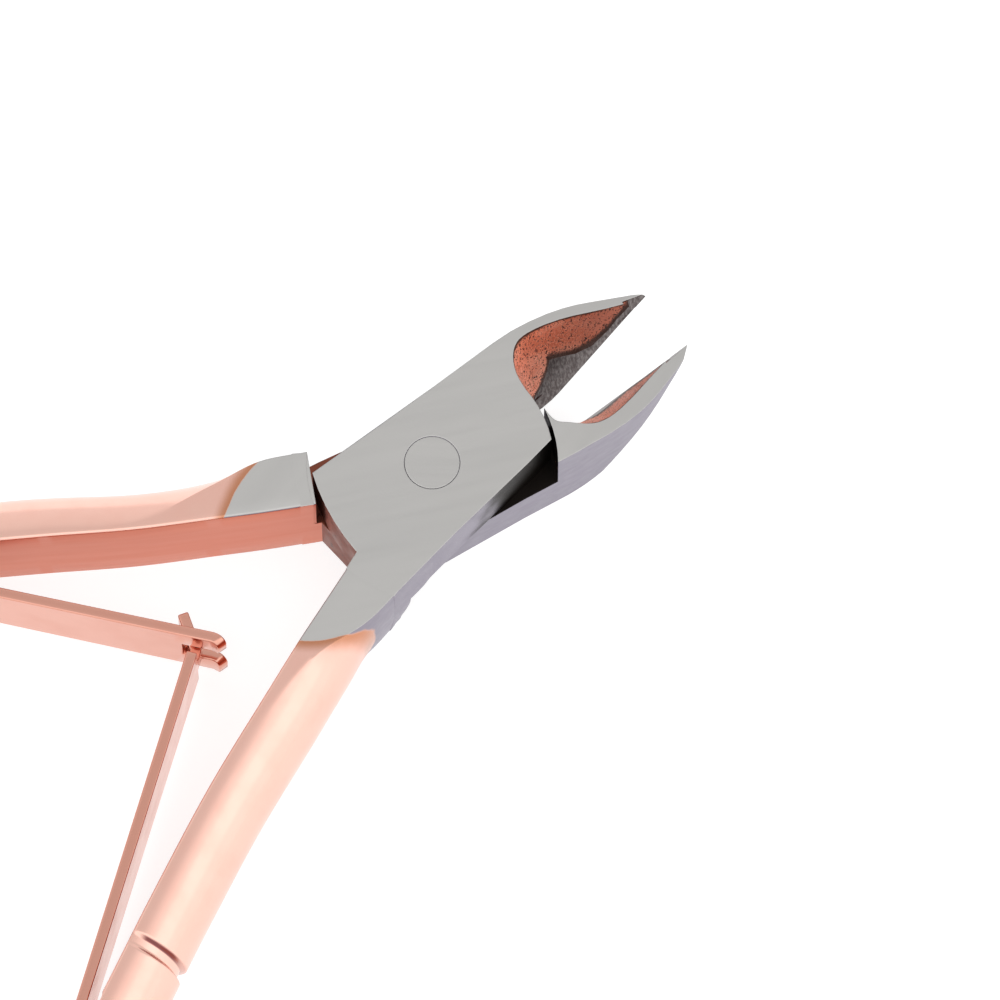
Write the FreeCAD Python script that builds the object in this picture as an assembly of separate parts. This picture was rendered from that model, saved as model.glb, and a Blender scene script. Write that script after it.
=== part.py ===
import FreeCAD, Part
import math
import os

# Cuticle nipper: two crossed levers on a lap joint with a flush pivot rivet, and two leaf springs that hook
# into each other between the handles. Millimetres and degrees. +X runs along the tool towards the tips, +Z up
# along the rivet, and the origin is on the rivet's axis, on the flat back that the nipper lies on. At rest the
# springs hold the jaws open. Each lever is drawn closed, where both cutting edges lie on y = 0, then turned.

thick = 6.2  # of the head and the handles, across their flats
lap_gap = 0.06  # between the two lap faces
open_angle = 13.5  # between the levers at rest
shoulder_radius = 6.82  # of the full-thickness steps that face the other lever's lap plate
plate_radius = 6.60  # of the lap plate's end beside the jaw
rivet_shank_radius = 1.2
rivet_head_radius = 1.5
rivet_head_depth = 0.6
rivet_clearance = 0.03

edge_heel_x = 7.9  # where the cutting edge leaves the back face
edge_slope = 33.6  # at which it climbs from there to the tip
edge_bevel = 21.0  # of the ground bevel above it, from upright
back_round = 5.0  # where the back face turns up into the slope
front_slope = 8.0  # at which the front face falls away towards the tip
front_slope_x = 8.2
back_corner_start = (8.8, 2.95, 0.55)  # three points of the plane that takes off the jaw's outer back corner
back_corner_middle = (12.0, 2.15, 3.35)
back_corner_tip = (15.5, 0.0, 5.0)

handle_depth = 3.1  # of the handle's D section, from its flat inner face to its round back
handle_flat = 0.5  # of flat left at the front side of the D
back_share = 0.90  # of that flat, left at the back side
groove_place = (-29.7, -9.73)
groove_lean = 1.5  # of the groove from square across the handle
groove_width = 0.7
groove_depth = 0.35
seat_depth = 0.1  # the shallow flat that each spring's foot lies on

leaf_thick = 0.6
leaf_width = 4.2
fork_tip_width = 4.7
fork_slot_width = 1.6
tine_reach = 0.75  # of the straight part of the tines, beyond the hook
tine_curl = 1.0  # radius and turn of their curled ends
tine_turn = 45.0
slot_reach = 0.82  # of the slot behind the hook
neck_width = 1.3
shoulder_reach = 1.0  # from the hook to the tongue's shoulders
tab_bend = 0.35
tab_lean = 36.0
tab_length = 2.2
hook_x = -15.8  # where the two springs hook into each other, at rest
hook_y = -0.75
fork_angle = 133.2  # of the forked leaf at rest, from the hook to its foot
tongue_angle = 219.6
fork_bend = 45.0  # radius of each leaf's bend, at its centre
tongue_bend = 25.0
foot_end = 16.0  # end of each foot and place of its rivet, along the seat
foot_rivet = 12.0
seat_lead = 0.5  # of the seat beyond its start, and beyond the end of the foot
foot_rivet_radius = 0.8
foot_head_radius = 1.5
foot_head_height = 0.7
foot_rivet_length = 2.4

# Outer side of each jaw and lap plate, from the handle's side to the tip.
front_outline = [
    (-5.28, 3.80), (-1.0, 3.50), (3.0, 3.26), (7.0, 3.06), (9.8, 2.66),
    (12.0, 1.92), (13.9, 0.92), (15.1, 0.24), (15.38, 0),
]
back_outline = [
    (-5.28, 3.80), (-1.0, 3.50), (3.0, 3.26), (7.0, 3.10), (9.8, 2.84),
    (12.0, 2.28), (14.0, 1.32), (15.4, 0.38), (15.7, 0),
]
# Side of each lap plate that lies under or over the other jaw, from beside the jaw to the handle.
front_plate_edge = [(5.76, -3.22), (3.1, -3.50), (0.2, -3.72), (-3.0, -4.02), (-6.2, -4.38)]
back_plate_edge = [(5.76, -3.22), (3.1, -3.42), (0.2, -3.58), (-3.0, -3.80), (-6.0, -3.86)]
front_waist = (-6.26, 0.6)  # middle of the round end of each lap plate, beside the handle
back_waist = (-6.02, 0.8)
front_crotch = (-6.42, -1.1)  # where it meets the handle's inner face
back_crotch = (-6.42, -0.72)
# Rim of each hollow on the front face, and the line that its wall falls to.
front_rim = [
    (6.62, -1.5), (6.56, -0.6), (6.76, 0.72), (7.28, 1.72), (8.45, 2.36),
    (10.8, 2.00), (12.8, 1.14), (14.1, 0.44), (15.1, -0.3),
]
back_rim = [
    (6.75, -1.5), (6.78, -0.6), (7.00, 0.80), (7.70, 1.38), (9.00, 2.12),
    (10.9, 1.94), (13.0, 1.14), (14.4, 0.42), (15.4, -0.3),
]
hollow_floor = [
    (7.30, -1.5), (7.40, -0.5), (7.68, 0.42), (8.54, 0.34), (9.90, 0.12),
    (10.9, 0.13), (12.85, 0.10), (14.4, 0.05), (15.2, -0.3),
]
# Upper edge of the ground bevel: place along the tool, and height above the cutting edge.
bevel_top = [
    (7.2, 0.6), (7.68, 1.15), (8.37, 1.9), (9.3, 2.75), (9.7, 2.35), (10.72, 1.31),
    (11.7, 0.67), (12.84, 0.49), (13.5, 0.62), (14.1, 1.3), (17.0, 1.3),
]
# Inner face of the handle, root to end, with the flat width and the depth of its section at each place.
front_root = [
    (-4.6, -0.60, 3.62, 3.60),
    (-7.1, -1.43, 3.08, 3.12),
    (-9.3, -2.12, 2.60, 2.88),
    (-11.8, -2.89, 1.45, 3.03),
    (-15.75, -4.23, handle_flat, handle_depth),
]
back_root = [
    (-4.6, -0.10, 3.14, 3.10),
    (-7.1, -0.90, 3.07, 3.03),
    (-9.3, -1.62, 2.92, 2.92),
    (-11.8, -2.50, 1.95, 2.85),
    (-15.75, -3.90, handle_flat, 2.90),
]
handle_line = [
    (-20.5, -5.88, handle_flat, handle_depth),
    (-27.0, -8.55, handle_flat, handle_depth),
    (-33.34, -11.33, handle_flat, handle_depth),
    (-41.0, -14.49, handle_flat, handle_depth),
    (-49.2, -17.87, handle_flat, handle_depth),
    (-58.0, -20.40, handle_flat, handle_depth),
    (-67.5, -20.90, handle_flat, handle_depth),
    (-77.5, -19.00, handle_flat, handle_depth),
    (-87.5, -15.60, handle_flat, handle_depth),
]
seat_start = (-33.34, -11.33)
seat_angle = 202.4  # direction of the seat towards the handle's end

half = thick / 2
up = FreeCAD.Vector(0, 0, 1)


def at(x, y, z=0.0):
    return FreeCAD.Vector(x, y, z)


def heading(angle):
    return at(math.cos(math.radians(angle)), math.sin(math.radians(angle)))


def spline(points):
    curve = Part.BSplineCurve()
    curve.interpolate(points)
    return curve.toShape()


def prism(edges, low, high):
    face = Part.Face(Part.Wire(Part.__sortEdges__(edges)))
    solid = face.extrude(up * (high - low))
    solid.translate(up * low)
    return solid


def polygon(points):
    return Part.makePolygon(points + points[:1])


def upright_disc(radius, low, high):
    return Part.makeCylinder(radius, high - low, at(0, 0, low))


def edge_height(x):
    return (x - edge_heel_x) * math.tan(math.radians(edge_slope))


def jaw(outline):
    """The jaw at full thickness, with its back sloped up to the tip and its front falling slightly."""
    start, end, inner = at(*outline[2]), at(*outline[-1]), at(outline[2][0], 0)
    outer = spline([at(*p) for p in outline[2:]])
    block = prism([outer, Part.makeLine(end, inner), Part.makeLine(inner, start)], 0, thick)
    return block.cut(back_slope()).cut(back_corner()).cut(front_fall()).cut(bevel())


def back_slope():
    """All that lies below the sloped back: a round stretch out of the flat, then the slope."""
    turn = math.radians(edge_slope)
    reach = back_round * math.tan(turn / 2)
    flat_end, rise = edge_heel_x - reach, edge_heel_x + reach * math.cos(turn)
    middle = at(flat_end + back_round * math.sin(turn / 2), -5, back_round * (1 - math.cos(turn / 2)))
    first, last = at(flat_end, -5), at(rise, -5, reach * math.sin(turn))
    far = at(18, -5, edge_height(18))
    arc = Part.Arc(first, middle, last).toShape()
    low_far, low_first = at(18, -5, -2), at(flat_end, -5, -2)
    sides = [Part.makeLine(last, far), Part.makeLine(far, low_far), Part.makeLine(low_far, low_first)]
    wire = Part.Wire([arc] + sides + [Part.makeLine(low_first, first)])
    return Part.Face(wire).extrude(at(0, 10))


def front_fall():
    drop = 10 * math.tan(math.radians(front_slope))
    corners = [(front_slope_x, thick), (front_slope_x + 10, thick - drop), (front_slope_x + 10, thick + 2)]
    points = [at(x, -5, z) for x, z in corners + [(front_slope_x, thick + 2)]]
    return Part.Face(polygon(points)).extrude(at(0, 10))


def bevel():
    """The wedge between y = 0 and the ground bevel, which starts at the cutting edge and leans away."""
    lean = math.tan(math.radians(edge_bevel))
    bottom = [at(17, 0, edge_height(17)), at(6, 0, edge_height(6))]
    top = [at(x, lean * rise, edge_height(x) + rise) for x, rise in bevel_top]
    return Part.Face(polygon(bottom + top)).extrude(at(0, -10))


def back_corner():
    """The corner between the sloped back and the jaw's outer side, taken off more and more towards the tip."""
    start, middle, tip = at(*back_corner_start), at(*back_corner_middle), at(*back_corner_tip)
    normal = (tip - start).cross(middle - start).normalize()
    if normal.z > 0:
        normal = normal * -1
    across = normal.cross(tip - start).normalize() * 12
    along = (tip - start).normalize() * 8
    corners = [start - along - across, start - along + across, tip + along + across, tip + along - across]
    return Part.Face(polygon(corners)).extrude(normal * 8)


def hollow(rim):
    """The hollow in the jaw's front: its wall falls from the rim to a line just above the cutting edge."""
    floor_slope = 0.5
    wires = []
    for points, height in ((rim, lambda x: thick + 0.05), (hollow_floor, lambda x: 1.0 + floor_slope * (x - 7.7))):
        wall = [at(x, y, height(x)) for x, y in points]
        shares = [i / (len(wall) - 1) for i in range(len(wall))]
        curve = Part.BSplineCurve()
        curve.interpolate(Points=wall, Parameters=shares)
        corners = [at(16.5, -4, height(16.5)), at(points[0][0], -4, height(points[0][0]))]
        path = [wall[-1]] + corners + [wall[0]]
        sides = [Part.makeLine(a, b) for a, b in zip(path, path[1:])]
        wires.append(Part.Wire([curve.toShape()] + sides))
    return Part.makeLoft(wires, True, True)


def lap_plate(outline, edge, waist, crotch):
    """The half-thickness plate round the pivot, in the upper half."""
    right_top, right_low = at(5.84, 3.08), at(*edge[0])
    left_top, left_low = at(*outline[0]), at(*crotch)
    upper = spline([at(*p) for p in outline[:3]] + [right_top])
    lower = spline([at(*p) for p in edge])
    beside_jaw = Part.Arc(right_top, at(plate_radius, 0), right_low).toShape()
    beside_handle = Part.Arc(left_low, at(*waist), left_top).toShape()
    root = Part.makeLine(at(*edge[-1]), left_low)
    return prism([upper, beside_jaw, lower, root, beside_handle], half + lap_gap / 2, thick)


def handle_section(place, direction):
    """One D section of the handle, square to its inner line."""
    x, y, flat, depth = place
    out = heading(direction + 90)
    inner = at(x, y)
    low, high = inner + out * flat * back_share, inner + out * flat + up * thick
    arc = Part.Arc(high, inner + out * depth + up * half, low).toShape()
    sides = [Part.makeLine(low, inner), Part.makeLine(inner, inner + up * thick)]
    return Part.Wire([arc] + sides + [Part.makeLine(inner + up * thick, high)])


def headings(places):
    last = len(places) - 1
    angles = []
    for i in range(len(places)):
        before, after = places[max(i - 1, 0)], places[min(i + 1, last)]
        angles.append(math.degrees(math.atan2(after[1] - before[1], after[0] - before[0])))
    return angles


def handle(root):
    """The handle from under the lap plate to its round end, with the groove cut round its back."""
    places = root + handle_line
    sections = [handle_section(place, angle) for place, angle in zip(places, headings(places))]
    bar = Part.makeLoft(sections, True, False)
    x, y = handle_line[-1][:2]
    end = Part.Face(sections[-1]).revolve(at(x, y), up, -90)
    return bar.fuse(end).cut(groove()).cut(seat())


def groove():
    """A ring cut round the D, which fades out towards the flat inner face."""
    angle = seat_angle + groove_lean
    along, out = heading(angle), heading(angle + 90)
    start = at(*groove_place) + up * half - along * groove_width / 2
    ring = Part.makeCylinder(6, groove_width, start, along)
    core = Part.makeCylinder(handle_depth, groove_width, start - out * groove_depth, along)
    return ring.cut(core)


def seat():
    """The shallow flat under the spring's foot."""
    along, out = heading(seat_angle), heading(seat_angle + 90)
    low = at(*seat_start) - up - out * 2
    first, last = low - along * seat_lead, low + along * (foot_end + seat_lead)
    corners = [first, last, last + out * (2 + seat_depth), first + out * (2 + seat_depth)]
    return Part.Face(polygon(corners)).extrude(up * (thick + 2))


def rivet_hole():
    """The hole for the spring's rivet, which goes part of the way into the handle."""
    along, out = heading(seat_angle), heading(seat_angle + 90)
    mouth = at(*seat_start) + along * foot_rivet + up * half
    return Part.makeCylinder(foot_rivet_radius, foot_rivet_length + seat_depth, mouth, out)


def flip_sides(shape):
    return shape.mirror(at(0, 0), at(0, 1))


def flip_lap(shape):
    """Turns a lap plate of the upper half into one of the lower half."""
    return shape.mirror(at(0, 0, half), up)


def pivot_rivet(clearance=0.0):
    """Flush rivet with a countersunk head at each face, which holds the lap together."""
    shank, head = rivet_shank_radius + clearance, rivet_head_radius + clearance
    low = Part.makeCone(head, shank, rivet_head_depth)
    high = Part.makeCone(shank, head, rivet_head_depth, at(0, 0, thick - rivet_head_depth))
    return upright_disc(shank, 0, thick).fuse([low, high]).removeSplitter()


def front_lever():
    """Jaw at +Y, lap plate on top, handle at -Y. The rivet turns in it."""
    under_lap = upright_disc(shoulder_radius, -1, half + lap_gap / 2)
    ends = jaw(front_outline).fuse(handle(front_root)).cut(under_lap)
    lever = ends.fuse(lap_plate(front_outline, front_plate_edge, front_waist, front_crotch)).cut(hollow(front_rim))
    lever = lever.cut(rivet_hole()).cut(pivot_rivet(rivet_clearance)).removeSplitter()
    return turned(lever, open_angle / 2)


def back_lever():
    """Jaw at -Y, lap plate below, handle at +Y. The rivet is fast in it."""
    over_lap = upright_disc(shoulder_radius, half - lap_gap / 2, thick + 1)
    ends = jaw(back_outline).cut(hollow(back_rim)).fuse(handle(back_root)).cut(over_lap)
    lever = ends.fuse(flip_lap(lap_plate(back_outline, back_plate_edge, back_waist, back_crotch))).cut(rivet_hole())
    lever = flip_sides(lever.cut(pivot_rivet())).removeSplitter()
    return turned(lever, -open_angle / 2)


def turned(shape, angle):
    shape.rotate(at(0, 0), up, angle)
    return shape


def seat_frame(side):
    """Start, direction along and direction into the handle of a seat at rest: side 1 is the back lever's."""
    angle = -side * open_angle / 2
    start, along = at(seat_start[0], -side * seat_start[1]), heading(-side * seat_angle)
    out = heading(-side * (seat_angle + 90))
    turn = FreeCAD.Rotation(up, angle)
    return turn.multVec(start + out * seat_depth), turn.multVec(along), turn.multVec(out)


def leaf_path(side, angle, bend):
    """Centre line of a leaf: straight from the hook, a round bend, and a straight foot along the seat."""
    start, along, out = seat_frame(side)
    start = start - out * leaf_thick / 2
    hook, away = at(hook_x, hook_y), heading(angle)
    gap = start - hook
    cross = away.x * along.y - away.y * along.x
    blade = (gap.x * along.y - gap.y * along.x) / cross
    corner = hook + away * blade
    turn = math.acos(away.dot(along))
    reach = bend * math.tan(turn / 2)
    inward = (along - away).normalize()
    middle = corner + inward * bend * (1 / math.cos(turn / 2) - 1)
    first, last = corner - away * reach, corner + along * reach
    return hook, first, middle, last, start + along * foot_end, corner


def strip(points, thickness, low, high):
    """A flat strip on edge: it follows the line, arc and line through five points."""
    begin, first, middle, last, end = points
    sides = []
    for shift in (thickness / 2, -thickness / 2):
        out_a, out_b = side_of(first - begin) * shift, side_of(end - last) * shift
        out_m = (out_a + out_b).normalize() * abs(shift)
        sides.append([begin + out_a, first + out_a, middle + out_m, last + out_b, end + out_b])
    edges = []
    for a, b, c, d, e in sides:
        edges += [Part.makeLine(a, b), Part.Arc(b, c, d).toShape(), Part.makeLine(d, e)]
    edges += [Part.makeLine(sides[0][0], sides[1][0]), Part.makeLine(sides[0][4], sides[1][4])]
    return prism(edges, low, high)


def side_of(direction):
    return at(-direction.y, direction.x).normalize()


def width_mask(begin, end, begin_width, end_width, thickness):
    """A tapered slab across a leaf's thickness: what lies inside it keeps its width."""
    along = (end - begin).normalize()
    out = side_of(along) * thickness
    middle = up * half
    corners = [
        begin - out + middle + up * begin_width / 2,
        end - out + middle + up * end_width / 2,
        end - out + middle - up * end_width / 2,
        begin - out + middle - up * begin_width / 2,
    ]
    return Part.Face(polygon(corners)).extrude(out * 2)


def foot_holes(side):
    start, along, out = seat_frame(side)
    mouth = start + along * foot_rivet - out * 2 + up * half
    return Part.makeCylinder(foot_rivet_radius, 4, mouth, out)


def fork_leaf():
    """Leaf on the back lever's handle. Its end is slotted, and the two tines curl over."""
    hook, first, middle, last, end, corner = leaf_path(1, fork_angle, fork_bend)
    back = heading(fork_angle)
    tip = hook - back * tine_reach
    low, high = half - fork_tip_width / 2, half + fork_tip_width / 2
    blade = strip((tip, first, middle, last, end), leaf_thick, low, high)
    curl = prism(curl_edges(tip, tip - side_of(-back) * tine_curl), low, high)
    slot_start = hook + back * slot_reach
    slot = Part.makeBox(6, 8, fork_slot_width, at(0, -4, half - fork_slot_width / 2))
    slot.rotate(at(0, 0), up, fork_angle + 180)
    slot.translate(slot_start)
    mask = width_mask(end, tip - back * 3, leaf_width - 0.4, fork_tip_width, 30)
    return blade.fuse(curl).cut(slot).common(mask).cut(foot_holes(1)).removeSplitter()


def curl_edges(tip, centre):
    """Part-turn curl at the end of a tine, about its centre."""
    spoke = tip - centre
    outer, inner = spoke.Length + leaf_thick / 2, spoke.Length - leaf_thick / 2
    spoke = spoke.normalize()
    turn = FreeCAD.Rotation(up, -tine_turn)
    half_turn = FreeCAD.Rotation(up, -tine_turn / 2)
    rings = []
    for radius in (outer, inner):
        points = [centre + s * radius for s in (spoke, half_turn.multVec(spoke), turn.multVec(spoke))]
        rings.append(points)
    edges = [Part.Arc(*ring).toShape() for ring in rings]
    return edges + [Part.makeLine(rings[0][i], rings[1][i]) for i in (0, 2)]


def tongue_leaf():
    """Leaf on the front lever's handle. Its end narrows to a neck that goes through the fork and bends back."""
    hook, first, middle, last, end, corner = leaf_path(-1, tongue_angle, tongue_bend)
    away = heading(tongue_angle)
    shoulder = hook + away * shoulder_reach
    low, high = half - leaf_width / 2, half + leaf_width / 2
    blade = strip((shoulder, first, middle, last, end), leaf_thick, low, high)
    return blade.fuse(neck(hook, away, shoulder)).cut(foot_holes(-1)).removeSplitter()


def neck(hook, away, shoulder):
    lean = heading(tongue_angle + tab_lean)
    bend = hook + away * tab_bend
    tab_end = bend - lean * tab_length
    side_a, side_b = side_of(away) * leaf_thick / 2, side_of(lean) * leaf_thick / 2
    root = shoulder + away * 0.2
    side_m = (side_a + side_b) / (2 * math.cos(math.radians(tab_lean / 2)) ** 2)
    corners = [root + side_a, bend + side_m, tab_end + side_b, tab_end - side_b, bend - side_m, root - side_a]
    solid = Part.Face(polygon(corners)).extrude(up * neck_width)
    solid.translate(up * (half - neck_width / 2))
    return solid


def foot_rivet_shape(side):
    """Domed rivet that holds a spring's foot on its seat."""
    start, along, out = seat_frame(side)
    face = start + along * foot_rivet + up * half - out * leaf_thick
    shank = Part.makeCylinder(foot_rivet_radius, leaf_thick + foot_rivet_length, face, out)
    rise, radius = foot_head_height, foot_head_radius
    ball = (radius * radius + rise * rise) / (2 * rise)
    dome = Part.makeSphere(ball, face + out * (ball - rise))
    keep = Part.makeCylinder(radius + 0.1, rise + 0.1, face, out * -1)
    return shank.fuse(dome.common(keep)).removeSplitter()


def main():
    os.makedirs("parts", exist_ok=True)
    pieces = {
        "front_lever": front_lever(),
        "back_lever": back_lever(),
        "pivot_rivet": pivot_rivet(),
        "fork_leaf_spring": fork_leaf(),
        "tongue_leaf_spring": tongue_leaf(),
        "fork_spring_rivet": foot_rivet_shape(1),
        "tongue_spring_rivet": foot_rivet_shape(-1),
    }
    for name, shape in pieces.items():
        box = shape.BoundBox
        print(name, shape.isValid(), len(shape.Solids), round(shape.Volume, 2),
              [round(v, 2) for v in (box.XMin, box.XMax, box.YMin, box.YMax, box.ZMin, box.ZMax)])
        shape.exportStep(f"parts/{name}.step")
    for side, angle, bend in ((1, fork_angle, fork_bend), (-1, tongue_angle, tongue_bend)):
        corner = leaf_path(side, angle, bend)[5]
        print("leaf bend", side, [round(v, 3) for v in corner])


main()
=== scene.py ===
import bpy
import bmesh
import math
from mathutils import Matrix, Vector


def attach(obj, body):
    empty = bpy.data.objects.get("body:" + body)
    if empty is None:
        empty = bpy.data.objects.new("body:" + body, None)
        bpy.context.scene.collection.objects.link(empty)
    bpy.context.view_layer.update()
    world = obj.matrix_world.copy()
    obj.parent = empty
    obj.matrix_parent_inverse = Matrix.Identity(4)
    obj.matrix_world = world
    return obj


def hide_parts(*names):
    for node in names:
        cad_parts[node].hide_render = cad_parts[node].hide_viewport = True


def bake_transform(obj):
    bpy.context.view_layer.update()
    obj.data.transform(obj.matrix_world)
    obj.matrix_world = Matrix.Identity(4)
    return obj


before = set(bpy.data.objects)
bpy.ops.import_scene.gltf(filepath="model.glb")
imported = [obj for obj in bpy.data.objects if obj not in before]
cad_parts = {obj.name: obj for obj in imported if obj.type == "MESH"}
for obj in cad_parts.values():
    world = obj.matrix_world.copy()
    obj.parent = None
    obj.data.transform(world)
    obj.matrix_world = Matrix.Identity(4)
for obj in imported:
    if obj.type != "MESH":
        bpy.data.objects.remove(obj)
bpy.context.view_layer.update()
mm = 0.001  # the shapes below are in millimetres and degrees
toMm = 1000.0

nipper = {
    "thickness": 6.2,
    "halfOpen": 6.75,  # each lever stands this far from the tool's middle line
    "seatStart": (-33.34, -11.33),  # of the flat under each spring's foot, with the lever closed
    "seatAngle": 202.4,
    "seatDepth": 0.1,
    "footEnd": 16.0,
}

camera = {
    "target": (1.83, -3.84, 6.2),
    "azimuth": -34.2,
    "elevation": 70.5,
    "distance": 600.0,
    "width": 54.05,  # of what the camera takes in at the target
    "sensor": 36,
}

studio = {
    "skyGlow": 1.34,
    "skyWay": (0.562, 0.827, 0),  # towards the dimmer side of the sky
    "skySteps": [  # how far towards it, and the share of the glow left
        (0.0, 0.8), (0.35, 1.0), (0.49, 1.0), (0.55, 0.6), (0.68, 0.57), (1.0, 0.72),
    ],
    "keyPower": 0.12,
    "fillPower": 0.05,
    "keyPlace": (-0.25, 0.30, 0.50),  # metres
    "keySize": (0.5, 0.3),
    "fillPlace": (0.35, -0.35, 0.35),
    "fillSize": (0.3, 0.3),
    "floorSize": 6,
    "floorTone": 0.4,
    "floorGlow": 0.78,
}


def heading(angle):
    return Vector((math.cos(math.radians(angle)), math.sin(math.radians(angle)), 0))


def atRest(side, point):
    # side -1 is the front lever, drawn closed; side 1 is the back lever, its mirror image
    flipped = Vector((point[0], -side * point[1], point[2] if len(point) > 2 else 0))
    return Matrix.Rotation(math.radians(-side * nipper["halfOpen"]), 3, "Z") @ flipped


def deselectAll():
    if bpy.context.object and bpy.context.object.mode != "OBJECT":
        bpy.ops.object.mode_set(mode="OBJECT")
    bpy.ops.object.select_all(action="DESELECT")


def pick(piece):
    deselectAll()
    piece.select_set(True)
    bpy.context.view_layer.objects.active = piece


def applyModifier(piece, kind, **values):
    pick(piece)
    modifier = piece.modifiers.new(kind.lower(), kind)
    for name, value in values.items():
        setattr(modifier, name, value)
    bpy.ops.object.modifier_apply(modifier=modifier.name)


def smoothEdges(piece, angle=30):
    pick(piece)
    bpy.ops.object.shade_smooth_by_angle(angle=math.radians(angle))
    applyModifier(piece, "WEIGHTED_NORMAL", keep_sharp=True)


def copyOfNode(node, name):
    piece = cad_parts[node].copy()
    piece.data = piece.data.copy()
    piece.name = name
    piece.data.materials.clear()
    for key in [k for k in piece.keys() if k.startswith("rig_")]:
        del piece[key]
    piece.parent = None
    bpy.context.collection.objects.link(piece)
    pick(piece)
    bpy.ops.object.mode_set(mode="EDIT")
    bpy.ops.mesh.select_all(action="SELECT")
    bpy.ops.mesh.remove_doubles(threshold=0.004 * mm)
    bpy.ops.mesh.customdata_custom_splitnormals_clear()
    bpy.ops.mesh.dissolve_limited(angle_limit=math.radians(1.0))
    bpy.ops.object.mode_set(mode="OBJECT")
    return piece


frontLever = {
    "side": -1,
    "rows": [  # inner face of the handle from root to end: x, y, flat at the front, depth of the D section
        (-4.6, -0.60, 3.62, 3.60),
        (-7.1, -1.43, 3.08, 3.12),
        (-9.3, -2.12, 2.60, 2.88),
        (-11.8, -2.89, 1.45, 3.03),
        (-15.75, -4.23, 0.5, 3.1),
    ],
}

backLever = {
    "side": 1,
    "rows": [
        (-4.6, -0.10, 3.14, 3.10),
        (-7.1, -0.90, 3.07, 3.03),
        (-9.3, -1.62, 2.92, 2.92),
        (-11.8, -2.50, 1.95, 2.85),
        (-15.75, -3.90, 0.5, 2.9),
    ],
}

handle = {
    "rows": [  # shared by both handles
        (-20.5, -5.88, 0.5, 3.1),
        (-27.0, -8.55, 0.5, 3.1),
        (-33.34, -11.33, 0.5, 3.1),
        (-41.0, -14.49, 0.5, 3.1),
        (-49.2, -17.87, 0.5, 3.1),
        (-58.0, -20.40, 0.5, 3.1),
        (-67.5, -20.90, 0.5, 3.1),
        (-77.5, -19.00, 0.5, 3.1),
        (-87.5, -15.60, 0.5, 3.1),
    ],
    "backShare": 0.9,  # of the front flat, left at the back
    "edgeRound": 0.14,  # of the two edges beside the inner face
    "shy": 0.02,  # of the fine round back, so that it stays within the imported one
    "ringStep": 0.3,  # between sections, and between those over the groove
    "grooveRingStep": 0.06,
    "grooveNear": 0.9,
    "endSteps": 12,  # sections around the round end
    "cutBehind": 0.4,  # where the head ends and the handle is taken over, behind the second row
    "overlap": 0.8,
    "tuck": 0.02,  # of the handle's start inside the head
    "tuckRun": 0.3,
    "seatMargin": 0.5,  # that the seat runs on past both ends of the spring's foot
    "groovePlace": (-29.7, -9.73),
    "grooveLean": 1.5,
    "grooveWidth": 0.7,
    "grooveDepth": 0.35,
    "grooveCore": 3.1,  # radius left under it
    "grooveWall": 0.12,  # half the run of its sloping sides
    "edgeBevel": 0.055,
    "merge": 0.03,
}


def pathPoint(rows, s):
    # position, direction and section of the handle at the fraction s of its rows
    last = len(rows) - 1
    i = min(int(s), last - 1)
    t = s - i
    spans = [math.dist(a[:2], b[:2]) for a, b in zip(rows, rows[1:])]

    def slope(k, c):
        if k == 0:
            return (rows[1][c] - rows[0][c]) / spans[0]
        if k == last:
            return (rows[last][c] - rows[last - 1][c]) / spans[last - 1]
        before, after = spans[k - 1], spans[k]
        left = (rows[k][c] - rows[k - 1][c]) / before
        right = (rows[k + 1][c] - rows[k][c]) / after
        return (left * after + right * before) / (before + after)

    values, turns = [], []
    for c in range(4):
        a, b = rows[i][c], rows[i + 1][c]
        m, n = slope(i, c) * spans[i], slope(i + 1, c) * spans[i]
        t2, t3 = t * t, t * t * t
        held = (2 * t3 - 3 * t2 + 1) * a + (3 * t2 - 2 * t3) * b
        values.append(held + (t3 - 2 * t2 + t) * m + (t3 - t2) * n)
        turns.append((6 * t2 - 6 * t) * (a - b) + (3 * t2 - 4 * t + 1) * m + (3 * t2 - 2 * t) * n)
    direction = Vector((turns[0], turns[1], 0)).normalized()
    return Vector((values[0], values[1], 0)), direction, values[2], values[3]


def arcThrough(a, b, c, steps):
    # points on the circle through three points of the section plane, both ends included
    ax, ay, bx, by, cx, cy = *a, *b, *c
    d = 2 * (ax * (by - cy) + bx * (cy - ay) + cx * (ay - by))
    ux = ((ax**2 + ay**2) * (by - cy) + (bx**2 + by**2) * (cy - ay) + (cx**2 + cy**2) * (ay - by)) / d
    uy = ((ax**2 + ay**2) * (cx - bx) + (bx**2 + by**2) * (ax - cx) + (cx**2 + cy**2) * (bx - ax)) / d
    start, end = math.atan2(ay - uy, ax - ux), math.atan2(cy - uy, cx - ux)
    if ux > max(ax, cx) and end > start:
        start += 2 * math.pi
    radius = math.hypot(ax - ux, ay - uy)
    turn = [start + (end - start) * i / steps for i in range(steps + 1)]
    return [(ux + radius * math.cos(v), uy + radius * math.sin(v)) for v in turn]


def handleSection(flat, depth):
    # one D section: distance from the inner face, and height
    top, r = nipper["thickness"], handle["edgeRound"]
    low, depth = flat * handle["backShare"], depth - handle["shy"]
    corner = [(r - r * math.cos(a), r - r * math.sin(a)) for a in (math.pi / 8 * i for i in range(5))]
    points = [(0, r + (top - 2 * r) * i / 4) for i in range(4)]
    points += [(w, top - h) for w, h in corner]
    points += [(r + (flat - r) * i / 4, top) for i in range(1, 4)]
    points += arcThrough((flat, top), (depth, top / 2), (low, 0), 36)
    points += [(r + (low - r) * i / 4, 0) for i in (3, 2, 1)]
    points += [(w, h) for w, h in reversed(corner)]
    return points


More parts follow.
